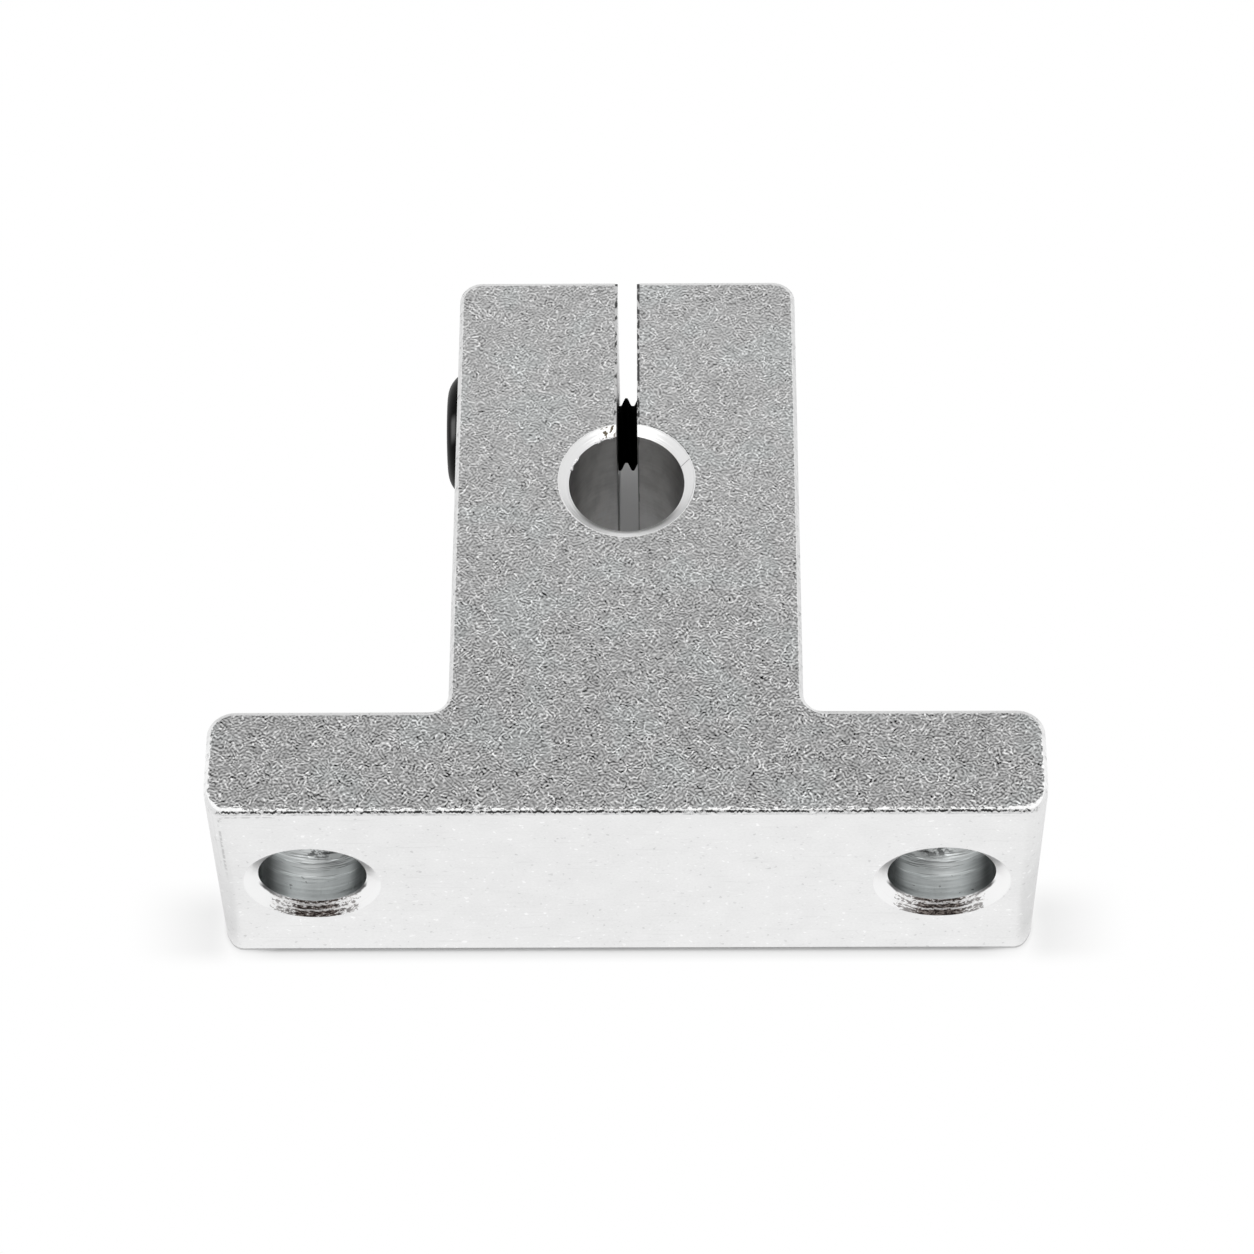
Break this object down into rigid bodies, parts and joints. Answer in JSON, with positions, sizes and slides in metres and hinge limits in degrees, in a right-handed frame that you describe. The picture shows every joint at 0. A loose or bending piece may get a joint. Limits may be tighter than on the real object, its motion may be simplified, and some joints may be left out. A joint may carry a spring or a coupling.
{
  "type": "shaft support block",
  "caption": "T-shaped shaft support: a bolt-down base, and an upright whose slit bore is clamped on the shaft by a socket screw from the side.",
  "frame": {"origin": "middle of the mounting face, which lies in z = 0, so it is the bottom centre of the box round the part", "axes": "+Z points away from the surface that it is bolted to, Y runs along the shaft, and X across the base through both mounting holes; the clamp screw's head is on the -X side"},
  "size_m": [0.042, 0.014, 0.0328],
  "materials": {
    "block_aluminium": "pale satin outer faces as drawn, grainy blasted grey end faces, turned bright bore and bevels",
    "black_screw_steel": "black oxide, slightly glossy"
  },
  "bodies": {
    "block": {"support_block": "block_aluminium"},
    "screw": {"clamp_screw": "black_screw_steel"}
  },
  "joints": [
    {"name": "clamp_screw_turn", "type": "hinge", "parent": "block", "child": "screw", "pos_m": [0, 0, 0.02775], "axis": [-1, 0, 0], "range_deg": [0, 270]}
  ]
}
